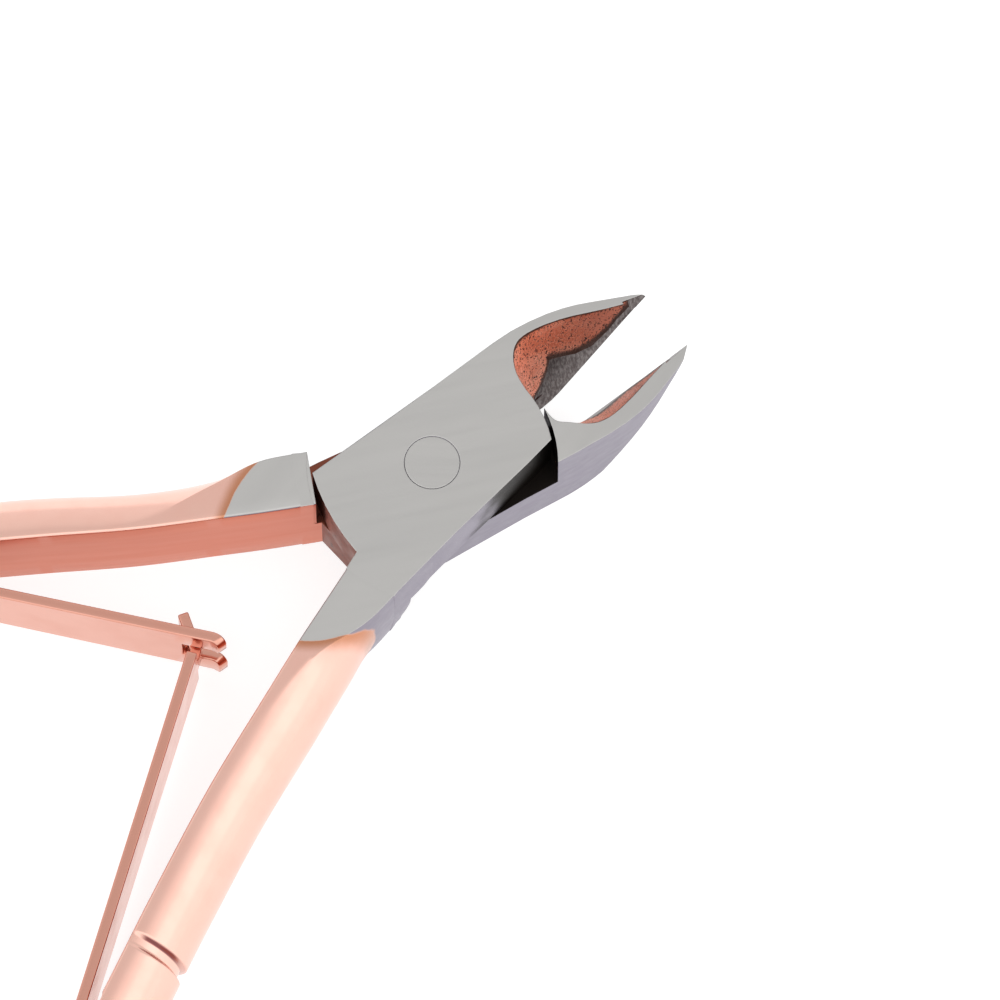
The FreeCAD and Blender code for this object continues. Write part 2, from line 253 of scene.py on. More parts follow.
def grooveCut(place, w, z, out):
    # how far the groove takes a point of the handle inwards
    along = heading(nipper["seatAngle"] + handle["grooveLean"])
    gap = abs((place + out * w - Vector((*handle["groovePlace"], 0))).dot(along))
    edge, wall = handle["grooveWidth"] / 2, handle["grooveWall"]
    share = min(max((edge + wall - gap) / (2 * wall), 0), 1)
    share = share * share * (3 - 2 * share)
    centre = -handle["grooveDepth"]
    reach = math.hypot(w - centre, z - nipper["thickness"] / 2)
    return share * max(reach - handle["grooveCore"], 0)


def ringStations(rows):
    # fractions along the rows: even steps, finer over the groove
    stations = []
    spans = [math.dist(a[:2], b[:2]) for a, b in zip(rows, rows[1:])]
    s = 1 + (handle["cutBehind"] - handle["overlap"]) / spans[1]
    while s < len(rows) - 1:
        stations.append(s)
        place = pathPoint(rows, s)[0]
        near = (place - Vector((*handle["groovePlace"], 0))).length < handle["grooveNear"]
        step = handle["grooveRingStep"] if near else handle["ringStep"]
        s += step / spans[min(max(int(s), 0), len(spans) - 1)]
    return stations + [len(rows) - 1]


def makeHandle(name, lever):
    rows = lever["rows"] + handle["rows"]
    spans = [math.dist(a[:2], b[:2]) for a, b in zip(rows, rows[1:])]
    cut = 1 + handle["cutBehind"] / spans[1]
    rings = []
    seatStart = Vector((*nipper["seatStart"], 0))
    along = heading(nipper["seatAngle"])
    margin, middle, steps = handle["seatMargin"], nipper["thickness"] / 2, handle["endSteps"]
    for s in ringStations(rows):
        place, direction, flat, depth = pathPoint(rows, s)
        out = Vector((-direction.y, direction.x, 0))
        tuck = handle["tuck"] * min(max((cut - s) * spans[1] / handle["tuckRun"], 0), 1)
        on = (place - seatStart).dot(along)
        seat = nipper["seatDepth"] if -margin < on < nipper["footEnd"] + margin else 0
        ring = []
        for w, z in handleSection(flat, depth):
            w = max(w, seat)
            cutIn = grooveCut(place, w, z, out)
            core = Vector((w + handle["grooveDepth"], z - middle)).normalized() * cutIn
            w, z = w - core.x, z - core.y
            w += tuck if w < depth / 2 else -tuck
            z += tuck if z < middle else -tuck
            point = place + out * w
            ring.append(atRest(lever["side"], (point.x, point.y, z)))
        rings.append(ring)
    place, direction, flat, depth = pathPoint(rows, len(rows) - 1)
    for i in range(1, steps + 1):  # the round end turns about the inner face's last edge
        out = Matrix.Rotation(math.radians(-90 * i / steps), 3, "Z") @ Vector((-direction.y, direction.x, 0))
        rings.append([
            atRest(lever["side"], (place.x + out.x * w, place.y + out.y * w, z))
            for w, z in handleSection(flat, depth)
        ])
    around = len(rings[0])
    deselectAll()
    bpy.ops.mesh.primitive_grid_add(x_subdivisions=around, y_subdivisions=len(rings) - 1, size=1)
    piece = bpy.context.object
    piece.name = name
    places = [ring[i % around] * mm for ring in rings for i in range(around + 1)]
    piece.data.vertices.foreach_set("co", [c for p in places for c in p])
    piece.data.update()
    bpy.ops.object.mode_set(mode="EDIT")
    bpy.ops.mesh.select_all(action="SELECT")
    bpy.ops.mesh.remove_doubles(threshold=0.003 * mm)
    bpy.ops.mesh.select_all(action="DESELECT")
    bpy.ops.mesh.select_non_manifold()
    bpy.ops.mesh.fill_holes(sides=0)
    bpy.ops.mesh.select_all(action="SELECT")
    bpy.ops.mesh.normals_make_consistent(inside=False)
    bpy.ops.object.mode_set(mode="OBJECT")
    return piece


def makeHead(name, node, lever):
    # the jaw, lap plate and shoulder, up to the cut where the handle takes over
    rows = lever["rows"] + handle["rows"]
    spans = [math.dist(a[:2], b[:2]) for a, b in zip(rows, rows[1:])]
    place, direction = pathPoint(rows, 1 + handle["cutBehind"] / spans[1])[:2]
    side = lever["side"]
    head = copyOfNode(node, name)
    bpy.ops.object.mode_set(mode="EDIT")
    bpy.ops.mesh.select_all(action="SELECT")
    bpy.ops.mesh.remove_doubles(threshold=handle["merge"] * mm)
    bpy.ops.mesh.bisect(
        plane_co=atRest(side, place) * mm, plane_no=atRest(side, direction),
        use_fill=True, clear_outer=True, clear_inner=False, threshold=1e-7,
    )
    bpy.ops.object.mode_set(mode="OBJECT")
    return head


def makeLever(name, node, lever):
    head = makeHead(name, node, lever)
    grip = makeHandle(name + "Grip", lever)
    applyModifier(head, "BEVEL", width=handle["edgeBevel"] * mm, segments=2, limit_method="ANGLE",
                  angle_limit=math.radians(35), use_clamp_overlap=True)
    applyModifier(head, "BOOLEAN", operation="UNION", solver="EXACT", object=grip)
    bpy.data.objects.remove(grip)
    smoothEdges(head, 30)
    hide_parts(node)
    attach(head, node)
    return head


frontPiece = makeLever("frontLeverForging", "front_lever", frontLever)
backPiece = makeLever("backLeverForging", "back_lever", backLever)
print("levers", len(frontPiece.data.polygons), len(backPiece.data.polygons))


rivets = {
    "flushBevel": 0.025,
    "flushSpread": (1.006, 1.006, 1),  # fills the hole's rim, so that only a hair line shows
    "footBevel": 0.06,
}


def makeRivet(name, node, body, bevel, spread=(1, 1, 1)):
    rivet = copyOfNode(node, name)
    rivet.scale = spread
    bpy.ops.object.transform_apply(location=False, rotation=False, scale=True)
    applyModifier(rivet, "BEVEL", width=bevel * mm, segments=3, limit_method="ANGLE",
                  angle_limit=math.radians(40), use_clamp_overlap=True)
    smoothEdges(rivet, 35)
    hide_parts(node)
    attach(rivet, body)
    return rivet


pivotRivet = makeRivet("pivotRivetFlush", "pivot_rivet", "back_lever",
                       rivets["flushBevel"], rivets["flushSpread"])
forkRivet = makeRivet("forkFootRivet", "fork_spring_rivet", "back_lever",
                      rivets["footBevel"])
tongueRivet = makeRivet("tongueFootRivet", "tongue_spring_rivet", "front_lever",
                        rivets["footBevel"])
print("rivets", len(pivotRivet.data.polygons), len(forkRivet.data.polygons))

spring = {
    "thickness": 0.6,
    "hook": (-15.8, -0.75),
    "edgeRound": 0.09,
    "step": 0.45,
    "bendLead": 4,  # the bending begins this far along the foot and ends this far up the leaf
    "bendRun": 9,
}

forkLeaf = {
    "side": 1,
    "angle": 133.2,
    "bend": 45.0,
    "footWidth": 3.85,
    "tipWidth": 4.68,
    "slotWidth": 1.6,
    "slotReach": 0.82,
    "tineReach": 0.75,
    "tineStep": 0.25,
    "tineRound": [0.42, 0.18, 0.06],  # taken off the sides of the last points, from the end
    "curlRadius": 1.0,
    "curlTurn": 45,
    "curlSteps": 6,
}

tongueLeaf = {
    "side": -1,
    "angle": 219.6,
    "bend": 25.0,
    "width": 4.2,
    "neckWidth": 1.3,
    "shoulderReach": 1.0,
    "neckStep": 0.2,
    "tabBend": 0.35,
    "tabLean": 36,
    "tabLength": 2.2,
    "tabStep": 0.3,
}


def leafLine(leaf):
    # centre line from the foot's end to the hook: points and the place of the bend's corner
    side = leaf["side"]
    along = atRest(side, heading(nipper["seatAngle"]))
    out = atRest(side, heading(nipper["seatAngle"] + 90))
    start = atRest(side, nipper["seatStart"]) + out * (nipper["seatDepth"] - spring["thickness"] / 2)
    hook, away = Vector((*spring["hook"], 0)), heading(leaf["angle"])
    gap = start - hook
    cross = away.x * along.y - away.y * along.x
    corner = hook + away * ((gap.x * along.y - gap.y * along.x) / cross)
    turn = away.angle(along)
    reach = leaf["bend"] * math.tan(turn / 2)
    centreSide = (along - away).normalized()
    centre = corner + centreSide * leaf["bend"] / math.cos(turn / 2)
    first, last = corner - away * reach, corner + along * reach
    points = evenly(start + along * nipper["footEnd"], last)
    spoke = last - centre
    sign = 1 if spoke.cross(first - centre).z > 0 else -1
    steps = int(leaf["bend"] * turn / spring["step"])
    points += [centre + Matrix.Rotation(sign * turn * i / steps, 3, "Z") @ spoke for i in range(1, steps)]
    return points + [first], hook, away, corner


def evenly(a, b, step=None):
    count = max(int((b - a).length / (step or spring["step"])), 1)
    return [a.lerp(b, i / count) for i in range(count)]


def makeStrip(name, line, columns, keep):
    # a strip on edge: columns gives the heights at each point of the line, keep says which faces stay
    deselectAll()
    wide = len(columns(0)) - 1
    bpy.ops.mesh.primitive_grid_add(x_subdivisions=wide, y_subdivisions=len(line) - 1, size=1)
    piece = bpy.context.object
    piece.name = name
    places = [Vector((p.x, p.y, z)) * mm for i, p in enumerate(line) for z in columns(i)]
    piece.data.vertices.foreach_set("co", [c for p in places for c in p])
    piece.data.update()
    bpy.ops.object.mode_set(mode="EDIT")
    bpy.ops.mesh.select_mode(type="FACE")
    mesh = bmesh.from_edit_mesh(piece.data)
    mesh.faces.ensure_lookup_table()
    for face in mesh.faces:
        face.select = not keep(*divmod(face.index, wide))
    bmesh.update_edit_mesh(piece.data)
    bpy.ops.mesh.delete(type="FACE")
    bpy.ops.object.mode_set(mode="OBJECT")
    applyModifier(piece, "SOLIDIFY", thickness=spring["thickness"] * mm, offset=0, use_even_offset=True)
    pick(piece)
    bpy.ops.object.mode_set(mode="EDIT")
    bpy.ops.mesh.select_all(action="SELECT")
    bpy.ops.mesh.normals_make_consistent(inside=False)
    bpy.ops.object.mode_set(mode="OBJECT")
    applyModifier(piece, "BEVEL", width=spring["edgeRound"] * mm, segments=3, limit_method="ANGLE",
                  angle_limit=math.radians(50), use_clamp_overlap=True)
    smoothEdges(piece, 40)
    return piece


def makeForkLeaf(leaf):
    line, hook, away, corner = leafLine(leaf)
    slotStart, tip = hook + away * leaf["slotReach"], hook - away * leaf["tineReach"]
    line += evenly(line.pop(), slotStart)
    slotAt = len(line)
    line += evenly(slotStart, tip, leaf["tineStep"])
    spoke = Vector((away.y, -away.x, 0)) * leaf["curlRadius"]
    turn, steps = math.radians(-leaf["curlTurn"]), leaf["curlSteps"]
    line += [tip - spoke + Matrix.Rotation(turn * i / steps, 3, "Z") @ spoke for i in range(steps + 1)]
    count, middle = len(line), nipper["thickness"] / 2
    roundOff = {count - 1 - i: off for i, off in enumerate(leaf["tineRound"])}

    def columns(i):
        wide = leaf["footWidth"] + (leaf["tipWidth"] - leaf["footWidth"]) * i / (count - 1)
        outer, inner = wide / 2 - roundOff.get(i, 0), leaf["slotWidth"] / 2 + roundOff.get(i, 0)
        return [middle - outer, middle - inner, middle + inner, middle + outer]

    piece = makeStrip("forkLeafStrip", line, columns, lambda row, column: column != 1 or row < slotAt)
    finishLeaf(piece, "fork_leaf_spring")
    return piece


def makeTongueLeaf(leaf):
    line, hook, away, corner = leafLine(leaf)
    shoulder, bend = hook + away * leaf["shoulderReach"], hook + away * leaf["tabBend"]
    tabEnd = bend - heading(leaf["angle"] + leaf["tabLean"]) * leaf["tabLength"]
    line += evenly(line.pop(), shoulder)
    neckAt = len(line)
    line += evenly(shoulder, bend, leaf["neckStep"]) + evenly(bend, tabEnd, leaf["tabStep"]) + [tabEnd]
    middle = nipper["thickness"] / 2

    def columns(i):
        outer, inner = leaf["width"] / 2, leaf["neckWidth"] / 2
        return [middle - outer, middle - inner, middle + inner, middle + outer]

    piece = makeStrip("tongueLeafStrip", line, columns, lambda row, column: column == 1 or row < neckAt)
    finishLeaf(piece, "tongue_leaf_spring")
    return piece


def finishLeaf(piece, node):
    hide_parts(node)
    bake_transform(piece)


forkPiece = makeForkLeaf(forkLeaf)
tonguePiece = makeTongueLeaf(tongueLeaf)
print("springs", len(forkPiece.data.polygons), len(tonguePiece.data.polygons))

finish = {
    "groundTop": (0.54, 0.53, 0.515, 1),  # satin faces across the tool
    "groundSideShade": (0.30, 0.275, 0.33, 1),  # its side faces, ground along; darker as painted shade
    "groundPatch": (0.3, 0.3, 0.3, 1),
    "groundRoughness": 0.42,
    "roseGold": (0.93, 0.57, 0.475, 1),
    "roseDeep": (0.87, 0.46, 0.37, 1),
    "roseRoughness": 0.2,
    # deep red of the handles' inner faces: painted shade and painted reflection between the handles
    "shadedInnerFace": (0.63, 0.19, 0.112, 1),
    "shadedInnerPale": (0.67, 0.217, 0.133, 1),
    # springs' plating, also on the foot rivets: the handles' rose gold made deeper and redder, as painted
    # shade and painted reflection between the leaves and handles
    "spring": (0.74, 0.37, 0.285, 1),
    "springDeep": (0.68, 0.30, 0.22, 1),
    "fringe": (0.50, 0.17, 0.05, 1),
    # dark red painted shade in the groove's corner
    "groove": (0.16, 0.03, 0.035, 1),
    "hollow": (0.84, 0.27, 0.16, 1),
    "hollowPale": (0.95, 0.44, 0.31, 1),
    "hollowDeep": (0.40, 0.11, 0.065, 1),  # towards the tip
    # near black: real soot in the jaws' hollows, painted shade on the lap faces and the plate's side
    "sootAndPaintedShade": (0.02, 0.016, 0.014, 1),
    "bevel": (0.095, 0.078, 0.076, 1),
    "bevelPale": (0.24, 0.215, 0.21, 1),
    "lapBrown": (0.22, 0.07, 0.045, 1),
}


def add(tree, kind, values=None, **settings):
    made = tree.nodes.new("ShaderNode" + kind)
    for name, value in settings.items():
        setattr(made, name, value)
    for key, value in (values or {}).items():
        if isinstance(value, bpy.types.NodeSocket):
            tree.links.new(value, made.inputs[key])
        else:
            made.inputs[key].default_value = value
    return made


def mixColour(tree, share, a, b):
    return add(tree, "Mix", {0: share, 6: a, 7: b}, data_type="RGBA").outputs[2]


def mixValue(tree, share, a, b):
    return add(tree, "Mix", {0: share, 2: a, 3: b}, data_type="FLOAT").outputs[0]


def ramp(tree, value, low, high, a=0.0, b=1.0, straight=False):
    values = {"Value": value, "From Min": low, "From Max": high, "To Min": a, "To Max": b}
    return add(tree, "MapRange", values, interpolation_type="LINEAR" if straight else "SMOOTHSTEP").outputs[0]


def calc(tree, operation, a, b=0.0):
    return add(tree, "Math", {0: a, 1: b}, operation=operation).outputs[0]


def newGroup(name, inputs, outputs):
    tree = bpy.data.node_groups.new(name, "ShaderNodeTree")
    for label, kind, value in inputs:
        socket = tree.interface.new_socket(name=label, in_out="INPUT", socket_type="NodeSocket" + kind)
        socket.default_value = value
    for label, kind in outputs:
        tree.interface.new_socket(name=label, in_out="OUTPUT", socket_type="NodeSocket" + kind)
    return tree, tree.nodes.new("NodeGroupInput").outputs, tree.nodes.new("NodeGroupOutput").inputs


def useGroup(tree, group, values=None):
    return add(tree, "Group", values, node_tree=group).outputs


def coordinate(tree, axis):
    return add(tree, "SeparateXYZ", {0: add(tree, "TexCoord").outputs["Object"]}).outputs[axis]


def about(tree, value, reach):
    # a noise value, whose middle is a half, as a wander to both sides
    return calc(tree, "MULTIPLY", calc(tree, "SUBTRACT", value, 0.5), reach)


grinding = {
    "wobbleScale": 900.0,  # of the limit between ground steel and plating
    "limitSoftness": (-0.04, 0.05),
    "fringe": (0.05, 0.75),  # the rusty fringe fades out between these, behind the limit
    "patchScale": 350.0,
    "cloudScale": 500.0,
    "pitEdge": (-0.03, 0.09),
    "hairRound": 0.1,  # radius of every sharp edge
}


def makePlatingLimit():
    # where the grinding of the head ends and the plating of the handle begins
    inputs = [("Centre", "Vector", (0, 0, 0)), ("Radius", "Float", 6.0), ("Side", "Float", -7.6),
              ("Wobble", "Float", 0.2)]
    tree, given, result = newGroup("platingLimit", inputs, [("Plated", "Float"), ("Fringe", "Float")])
    place = add(tree, "TexCoord").outputs["Object"]
    flat = add(tree, "VectorMath", {0: place, 1: (toMm, toMm, 0)}, operation="MULTIPLY").outputs[0]
    reach = add(tree, "VectorMath", {0: flat, 1: given["Centre"]}, operation="DISTANCE").outputs["Value"]
    noise = add(tree, "TexNoise", {"Vector": place, "Scale": grinding["wobbleScale"], "Detail": 4.0})
    wander = about(tree, noise.outputs[0], given["Wobble"])
    past = calc(tree, "ADD", calc(tree, "SUBTRACT", reach, given["Radius"]), wander)
    behind = calc(tree, "SUBTRACT", given["Side"], add(tree, "SeparateXYZ", {0: flat}).outputs[0])
    both = calc(tree, "MINIMUM", past, behind)
    plated = ramp(tree, both, *grinding["limitSoftness"])
    tree.links.new(plated, result["Plated"])
    fringe = calc(tree, "MULTIPLY", plated, ramp(tree, both, *grinding["fringe"], 1.0, 0.0))
    tree.links.new(fringe, result["Fringe"])
    return tree


def makeGrain():
    # fine lines of a grinding wheel: turned by Angle about the upright axis, long in their own direction
    inputs = [("Angle", "Float", 0.0), ("Scale", "Float", 2500.0), ("Length", "Float", 0.06)]
    tree, given, result = newGroup("grindingGrain", inputs, [("Grain", "Float"), ("Patches", "Float")])
    place = add(tree, "TexCoord").outputs["Object"]
    turned = add(tree, "VectorRotate", {"Vector": place, "Angle": given["Angle"]}, rotation_type="Z_AXIS")
    stretch = add(tree, "CombineXYZ", {0: given["Length"], 1: 1.0, 2: 1.0}).outputs[0]
    lines = add(tree, "VectorMath", {0: turned.outputs[0], 1: stretch}, operation="MULTIPLY").outputs[0]
    fine = add(tree, "TexNoise", {"Vector": lines, "Scale": given["Scale"], "Detail": 5.0, "Roughness": 0.65})
    broad = add(tree, "TexNoise", {"Vector": lines, "Scale": grinding["patchScale"], "Detail": 2.0})
    tree.links.new(fine.outputs[0], result["Grain"])
    tree.links.new(broad.outputs[0], result["Patches"])
    return tree


def makePits():
    # small pits and specks of soot
    inputs = [("Scale", "Float", 3500.0), ("Share", "Float", 0.35)]
    tree, given, result = newGroup("pitsAndSpecks", inputs, [("Pits", "Float"), ("Clouds", "Float")])
    place = add(tree, "TexCoord").outputs["Object"]
    cells = add(tree, "TexNoise", {"Vector": place, "Scale": given["Scale"], "Detail": 6.0, "Roughness": 0.7})
    clouds = add(tree, "TexNoise", {"Vector": place, "Scale": grinding["cloudScale"], "Detail": 3.0})
    depth = calc(tree, "SUBTRACT", calc(tree, "ADD", given["Share"], 0.02), cells.outputs[0])
    tree.links.new(ramp(tree, depth, *grinding["pitEdge"]), result["Pits"])
    tree.links.new(clouds.outputs[0], result["Clouds"])
    return tree


def newMaterial(name):
    material = bpy.data.materials.new(name)
    material.use_nodes = True
    shader = material.node_tree.nodes["Principled BSDF"]
    shader.inputs["Metallic"].default_value = 1
    return material, shader.inputs, material.node_tree


def bump(tree, height, depth):
    # surface relief, with every sharp edge rounded by a hair
    rounded = add(tree, "Bevel", {"Radius": grinding["hairRound"] * mm}, samples=6).outputs[0]
    return add(tree, "Bump", {"Height": height, "Distance": depth * mm, "Normal": rounded}).outputs[0]


def roseColour(tree, pale, deep):
    # polished rose gold: paler and deeper areas drift along the metal
    drift = useGroup(tree, pitsAndSpecks)["Clouds"]
    return mixColour(tree, ramp(tree, drift, 0.35, 0.8, 0.0, 0.3), pale, deep), drift


paintedShadeBand = {  # painted shade in the groove: along the handle, then away from the inner face
    "corner": 0.3,
    "width": (0.06, 0.16),
    "start": (0.4, 0.9),
    "end": (2.3, 2.9),
}


def grooveShade(tree, side):
    # painted shade in the corner of the groove that faces away from the jaws
    if side == 0:
        return 0.0
    along = atRest(side, heading(nipper["seatAngle"] + handle["grooveLean"]))
    out = atRest(side, heading(nipper["seatAngle"] + handle["grooveLean"] + 90))
    middle = atRest(side, handle["groovePlace"])
    place = add(tree, "TexCoord").outputs["Object"]
    place = add(tree, "VectorMath", {0: place, 3: toMm}, operation="SCALE").outputs[0]
    far = add(tree, "VectorMath", {0: place, 1: middle}, operation="SUBTRACT").outputs[0]
    on = add(tree, "VectorMath", {0: far, 1: along}, operation="DOT_PRODUCT").outputs["Value"]
    off = add(tree, "VectorMath", {0: far, 1: out}, operation="DOT_PRODUCT").outputs["Value"]
    wall = calc(tree, "ABSOLUTE", calc(tree, "ADD", on, paintedShadeBand["corner"]))
    dark = ramp(tree, wall, *paintedShadeBand["width"], 1.0, 0.0)
    shade = calc(tree, "MULTIPLY", dark, ramp(tree, off, *paintedShadeBand["start"]))
    return calc(tree, "MULTIPLY", shade, ramp(tree, off, *paintedShadeBand["end"], 0.9, 0.3))


def makeLeverMaterial(name, side, centre, radius, sideLimit, angle):
    material, shader, tree = newMaterial(name)
    limit = useGroup(tree, platingLimit, {"Centre": centre, "Radius": radius, "Side": sideLimit})
    grain = useGroup(tree, grindingGrain, {"Angle": math.radians(angle)})
    facing = add(tree, "SeparateXYZ", {0: add(tree, "NewGeometry").outputs["Normal"]})
    upright = calc(tree, "ABSOLUTE", facing.outputs[2])
    # faces that stand upright take the darker side colour, which is painted shade
    ground = mixColour(tree, ramp(tree, upright, 0.55, 0.9), finish["groundSideShade"], finish["groundTop"])
    patches = ramp(tree, grain["Patches"], 0.3, 0.75, 0.0, 0.10)
    ground = mixColour(tree, patches, ground, finish["groundPatch"])
    rose, drift = roseColour(tree, finish["roseGold"], finish["roseDeep"])
    colour = mixColour(tree, limit["Plated"], ground, rose)
    colour = mixColour(tree, calc(tree, "MULTIPLY", limit["Fringe"], 0.75), colour, finish["fringe"])
    colour = mixColour(tree, grooveShade(tree, side), colour, finish["groove"])
    tree.links.new(colour, shader["Base Color"])
    rough, smooth = finish["groundRoughness"], finish["roseRoughness"]
    satin = ramp(tree, grain["Grain"], 0.2, 0.8, rough - 0.06, rough + 0.08)
    polish = ramp(tree, drift, 0.2, 0.8, smooth - 0.03, smooth + 0.04)
    tree.links.new(mixValue(tree, limit["Plated"], satin, polish), shader["Roughness"])
    height = calc(tree, "MULTIPLY", grain["Grain"], calc(tree, "SUBTRACT", 1.0, limit["Plated"]))
    tree.links.new(bump(tree, height, 0.004), shader["Normal"])
    return material


def makeShadedSpringPlating():
    # rose gold on the springs and foot rivets, deepened as painted shade
    material, shader, tree = newMaterial("springPlatingShaded")
    rose, drift = roseColour(tree, finish["spring"], finish["springDeep"])
    tree.links.new(rose, shader["Base Color"])
    tree.links.new(ramp(tree, drift, 0.2, 0.8, 0.14, 0.24), shader["Roughness"])
    return material


def makeShadedInnerFace():
    # the flat inner face of a handle, satin under its plating; its deep red is painted shade and painted
    # reflection between the handles
    material, shader, tree = newMaterial("shadedInnerFacePlating")
    grain = useGroup(tree, grindingGrain, {"Angle": math.radians(25), "Scale": 1800.0})
    tone = mixColour(tree, ramp(tree, grain["Patches"], 0.3, 0.8), finish["shadedInnerFace"], finish["shadedInnerPale"])
    tree.links.new(tone, shader["Base Color"])
    tree.links.new(ramp(tree, grain["Grain"], 0.2, 0.8, 0.3, 0.4), shader["Roughness"])
    tree.links.new(bump(tree, grain["Grain"], 0.002), shader["Normal"])
    return material


jaw = {
    "heel": 7.9,  # place of the cutting edge's start along the closed tool, and its slope
    "slope": 0.6644,
    "bevelTop": [  # upper edge of the ground bevel: place, height above the cutting edge
        (7.2, 0.6), (7.68, 1.15), (8.37, 1.9), (9.3, 2.75), (9.7, 2.35), (10.72, 1.31),
        (11.7, 0.67), (12.84, 0.49), (13.5, 0.56), (14.35, 0.5), (14.6, 3.0), (16.0, 3.0),
    ],
    "tallest": 3.0,
    "streakScale": 8000.0,
    "pitScale": 7500.0,
    "pitShare": 0.46,
    "sootReach": (0.12, 0.9),  # above the bevel's upper edge
    "sootWander": 0.5,
    "rimReach": 0.35,  # of the soot below the hollow's rim, which falls away from rimFrom on
    "rimWander": 0.4,
    "rimFrom": 8.2,
    "rimFall": 0.14,
    "deepRun": (8.5, 13.0),  # the copper deepens between these, towards the tip
    "relief": 0.012,
}


def makeJawInside():
    # height above the upper edge of the ground bevel, and the bevel's near upright streaks
    inputs = [("Turn", "Float", 0.0)]
    tree, given, result = newGroup("jawInside", inputs, [("Above", "Float"), ("Streaks", "Float")])
    spot = add(tree, "TexCoord").outputs["Object"]
    closed = add(tree, "VectorRotate", {"Vector": spot, "Angle": given["Turn"]}, rotation_type="Z_AXIS")
    split = add(tree, "SeparateXYZ", {0: closed.outputs[0]}).outputs
    along = calc(tree, "MULTIPLY", split[0], toMm)
    edge = calc(tree, "MULTIPLY", calc(tree, "SUBTRACT", along, jaw["heel"]), jaw["slope"])
    rise = calc(tree, "SUBTRACT", calc(tree, "MULTIPLY", split[2], toMm), edge)
    first, last, tallest = jaw["bevelTop"][0][0], jaw["bevelTop"][-1][0], jaw["tallest"]
    curve = add(tree, "FloatCurve", {"Value": ramp(tree, along, first, last, straight=True)})
    line = curve.mapping.curves[0]
    places = [((x - first) / (last - first), height / tallest) for x, height in jaw["bevelTop"]]
    for place in places[1:-1]:
        line.points.new(*place)
    line.points[0].location, line.points[-1].location = places[0], places[-1]
    for point in line.points:
        point.handle_type = "VECTOR"
    curve.mapping.update()
    top = calc(tree, "MULTIPLY", curve.outputs[0], tallest)
    tree.links.new(calc(tree, "SUBTRACT", rise, top), result["Above"])
    tall = add(tree, "VectorMath", {0: spot, 1: (1, 1, 0.07)}, operation="MULTIPLY").outputs[0]
    look = {"Vector": tall, "Scale": jaw["streakScale"], "Detail": 3.0, "Roughness": 0.6}
    streaks = add(tree, "TexNoise", look)
    tree.links.new(streaks.outputs[0], result["Streaks"])
    return tree


def makeHollowMaterial(name, side):
    # copper in the hollow, brushed steel on the bevel, soot and specks where they meet and along the rim
    material, shader, tree = newMaterial(name)
    inside = useGroup(tree, jawInside, {"Turn": math.radians(side * nipper["halfOpen"])})
    pits = useGroup(tree, pitsAndSpecks, {"Scale": jaw["pitScale"], "Share": jaw["pitShare"]})
    inHollow = ramp(tree, inside["Above"], -0.02, 0.04)
    along, up = (coordinate(tree, axis) for axis in (0, 2))
    past = calc(tree, "MAXIMUM", calc(tree, "SUBTRACT", along, jaw["rimFrom"] * mm), 0.0)
    fall = calc(tree, "MULTIPLY", past, jaw["rimFall"])
    below = calc(tree, "SUBTRACT", nipper["thickness"] * mm, calc(tree, "ADD", up, fall))
    ragged = calc(tree, "ADD", below, about(tree, pits["Clouds"], jaw["rimWander"] * mm))
    rim = ramp(tree, ragged, 0.0, jaw["rimReach"] * mm, 1.0, 0.0)
    above = calc(tree, "ADD", inside["Above"], about(tree, pits["Clouds"], jaw["sootWander"]))
    fringe = calc(tree, "MAXIMUM", ramp(tree, above, *jaw["sootReach"], 1.0, 0.0), rim)
    specks = ramp(tree, calc(tree, "ADD", pits["Pits"], calc(tree, "MULTIPLY", fringe, 0.95)), 0.45, 0.95)
    copper = mixColour(tree, ramp(tree, pits["Clouds"], 0.35, 0.65), finish["hollow"], finish["hollowPale"])
    deep = ramp(tree, along, *(x * mm for x in jaw["deepRun"]), 0.0, 0.85)
    copper = mixColour(tree, deep, copper, finish["hollowDeep"])
    copper = mixColour(tree, calc(tree, "MULTIPLY", specks, 0.93), copper, finish["sootAndPaintedShade"])
    steel = mixColour(tree, ramp(tree, inside["Streaks"], 0.35, 0.7), finish["bevel"], finish["bevelPale"])
    tree.links.new(mixColour(tree, inHollow, steel, copper), shader["Base Color"])
    rough = ramp(tree, pits["Clouds"], 0.3, 0.7, 0.42, 0.6)
    brushed = ramp(tree, inside["Streaks"], 0.3, 0.7, 0.3, 0.42)
    tree.links.new(mixValue(tree, inHollow, brushed, rough), shader["Roughness"])
    height = mixValue(tree, inHollow, inside["Streaks"], calc(tree, "MULTIPLY", pits["Pits"], -2.0))
    tree.links.new(bump(tree, height, jaw["relief"]), shader["Normal"])
    return material


lap = {  # places along the tool where one finish gives way to the next
    "brownRun": (-4.0, 1.0),
    "shadeRun": (-0.5, 2.4),
    "speckleRun": (4.0, 1.0),
    "shadeWander": 4.0,
}


def makeLapMaterial():
    # the joint's inner faces: black beside the jaws, which is painted shade in the gap between the plates,
    # and copper brown beside the handles
    material, shader, tree = newMaterial("lapFaces")
    pits = useGroup(tree, pitsAndSpecks, {"Scale": 2500.0, "Share": 0.4})
    paintedShade = ramp(tree, coordinate(tree, 0), *(x * mm for x in lap["brownRun"]))
    tone = mixColour(tree, paintedShade, finish["lapBrown"], finish["sootAndPaintedShade"])
    tone = mixColour(tree, calc(tree, "MULTIPLY", pits["Pits"], 0.6), tone, finish["sootAndPaintedShade"])
    tree.links.new(tone, shader["Base Color"])
    tree.links.new(ramp(tree, pits["Clouds"], 0.3, 0.7, 0.35, 0.55), shader["Roughness"])
    tree.links.new(bump(tree, pits["Clouds"], 0.02), shader["Normal"])
    return material


